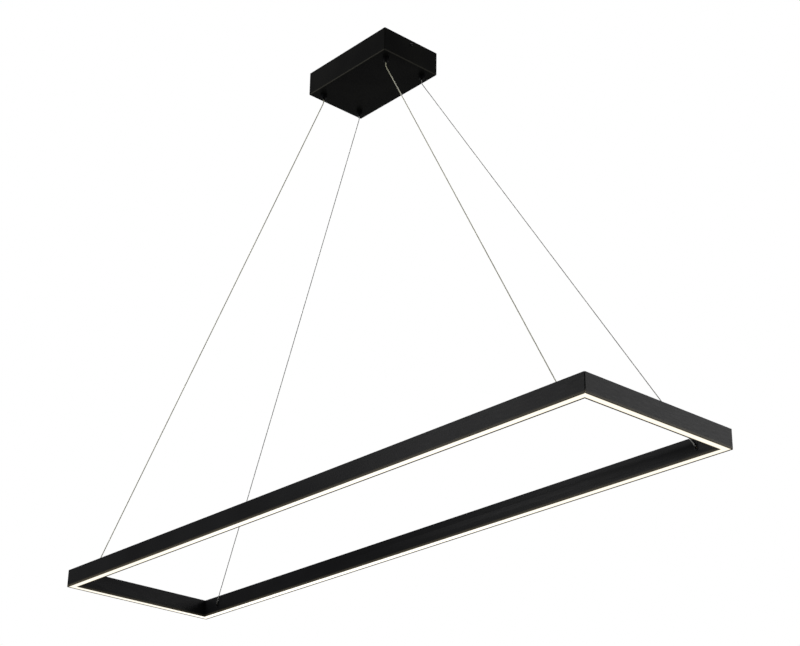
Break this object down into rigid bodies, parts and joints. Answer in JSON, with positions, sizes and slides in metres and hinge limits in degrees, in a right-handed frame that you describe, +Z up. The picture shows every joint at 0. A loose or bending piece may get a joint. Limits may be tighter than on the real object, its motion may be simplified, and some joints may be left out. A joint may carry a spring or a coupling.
{
  "type": "linear island pendant",
  "caption": "Long rectangular black light frame with a warm opal underside, hung by thin steel cables from a rectangular black ceiling canopy.",
  "frame": {"origin": "centre of the ceiling plane that the canopy closes against, midway between the ceiling screws", "axes": "+Z up towards the ceiling, +X along the length of the light frame, -Y is the near side"},
  "size_m": [1.22, 0.298, 0.844],
  "materials": {
    "black_powder_coat": "satin black powder coat on steel",
    "black_coated_aluminium": "satin black powder coat on extruded aluminium",
    "black_plastic": "moulded black nylon",
    "opal_acrylic": "opal diffusing acrylic, lit from behind",
    "strip_board": "white solder-masked flexible board with a ribbon of phosphor",
    "zinc_steel": "zinc-plated steel",
    "black_steel": "blackened steel",
    "black_gripper": "black-plated brass",
    "spring_steel": "spring steel wire",
    "ball_steel": "hardened steel balls",
    "suspension_cable": "fine stranded steel cable",
    "crimp_brass": "crimped brass",
    "driver_case": "moulded white polycarbonate",
    "block_plastic": "moulded grey nylon",
    "earth_screw": "green passivated steel",
    "lead_black": "black PVC insulation",
    "lead_white": "white PVC insulation",
    "lead_green": "green PVC insulation",
    "lead_red": "red PVC insulation"
  },
  "bodies": {
    "canopy": {"cable_far_left": "suspension_cable", "cable_far_right": "suspension_cable", "cable_near_left": "suspension_cable", "cable_near_right": "suspension_cable", "cable_stops": "crimp_brass", "cable_tail_far_left": "suspension_cable", "cable_tail_far_right": "suspension_cable", "cable_tail_near_left": "suspension_cable", "cable_tail_near_right": "suspension_cable", "canopy_cover": "black_powder_coat", "ceiling_bracket": "zinc_steel", "cover_screws": "black_steel", "driver_nuts": "zinc_steel", "gripper_bodies": "black_gripper", "gripper_nuts": "zinc_steel", "ground_lead": "lead_green", "ground_screw": "earth_screw", "led_driver": "driver_case", "live_lead": "lead_black", "neutral_lead": "lead_white", "output_lead_left": "lead_black", "output_lead_right": "lead_red", "plunger_spring_far_left": "spring_steel", "plunger_spring_far_right": "spring_steel", "plunger_spring_near_left": "spring_steel", "plunger_spring_near_right": "spring_steel", "terminal_block": "block_plastic", "terminal_screw": "zinc_steel"},
    "light_frame": {"rail_near": "black_coated_aluminium", "rail_right": "black_coated_aluminium", "rail_far": "black_coated_aluminium", "rail_left": "black_coated_aluminium", "opal_cover_near": "opal_acrylic", "opal_cover_right": "opal_acrylic", "opal_cover_far": "opal_acrylic", "opal_cover_left": "opal_acrylic", "led_strip_near": "strip_board", "led_strip_right": "strip_board", "led_strip_far": "strip_board", "led_strip_left": "strip_board", "corner_key_near_left": "black_plastic", "corner_key_near_right": "black_plastic", "corner_key_far_right": "black_plastic", "corner_key_far_left": "black_plastic", "entry_bushes": "black_plastic", "cable_ferrules": "crimp_brass", "strip_jumpers": "crimp_brass", "feed_wires": "lead_red"},
    "plunger_near_left": {"gripper_plunger_near_left": "black_gripper", "gripper_balls_near_left": "ball_steel"},
    "plunger_near_right": {"gripper_plunger_near_right": "black_gripper", "gripper_balls_near_right": "ball_steel"},
    "plunger_far_right": {"gripper_plunger_far_right": "black_gripper", "gripper_balls_far_right": "ball_steel"},
    "plunger_far_left": {"gripper_plunger_far_left": "black_gripper", "gripper_balls_far_left": "ball_steel"}
  },
  "joints": [
    {"name": "height_adjust", "type": "slide", "parent": "canopy", "child": "light_frame", "axis": [0, 0, 1], "range_m": [0, 0.45], "deforming": ["cable_near_left", "cable_near_right", "cable_far_right", "cable_far_left"]},
    {"name": "release_near_left", "type": "slide", "parent": "canopy", "child": "plunger_near_left", "axis": [0, 0, 1], "range_m": [0, 0.002], "stiffness_N_per_m": 400, "springref_m": -0.002, "deforming": ["plunger_spring_near_left"]},
    {"name": "release_near_right", "type": "slide", "parent": "canopy", "child": "plunger_near_right", "axis": [0, 0, 1], "range_m": [0, 0.002], "stiffness_N_per_m": 400, "springref_m": -0.002, "deforming": ["plunger_spring_near_right"]},
    {"name": "release_far_right", "type": "slide", "parent": "canopy", "child": "plunger_far_right", "axis": [0, 0, 1], "range_m": [0, 0.002], "stiffness_N_per_m": 400, "springref_m": -0.002, "deforming": ["plunger_spring_far_right"]},
    {"name": "release_far_left", "type": "slide", "parent": "canopy", "child": "plunger_far_left", "axis": [0, 0, 1], "range_m": [0, 0.002], "stiffness_N_per_m": 400, "springref_m": -0.002, "deforming": ["plunger_spring_far_left"]}
  ]
}
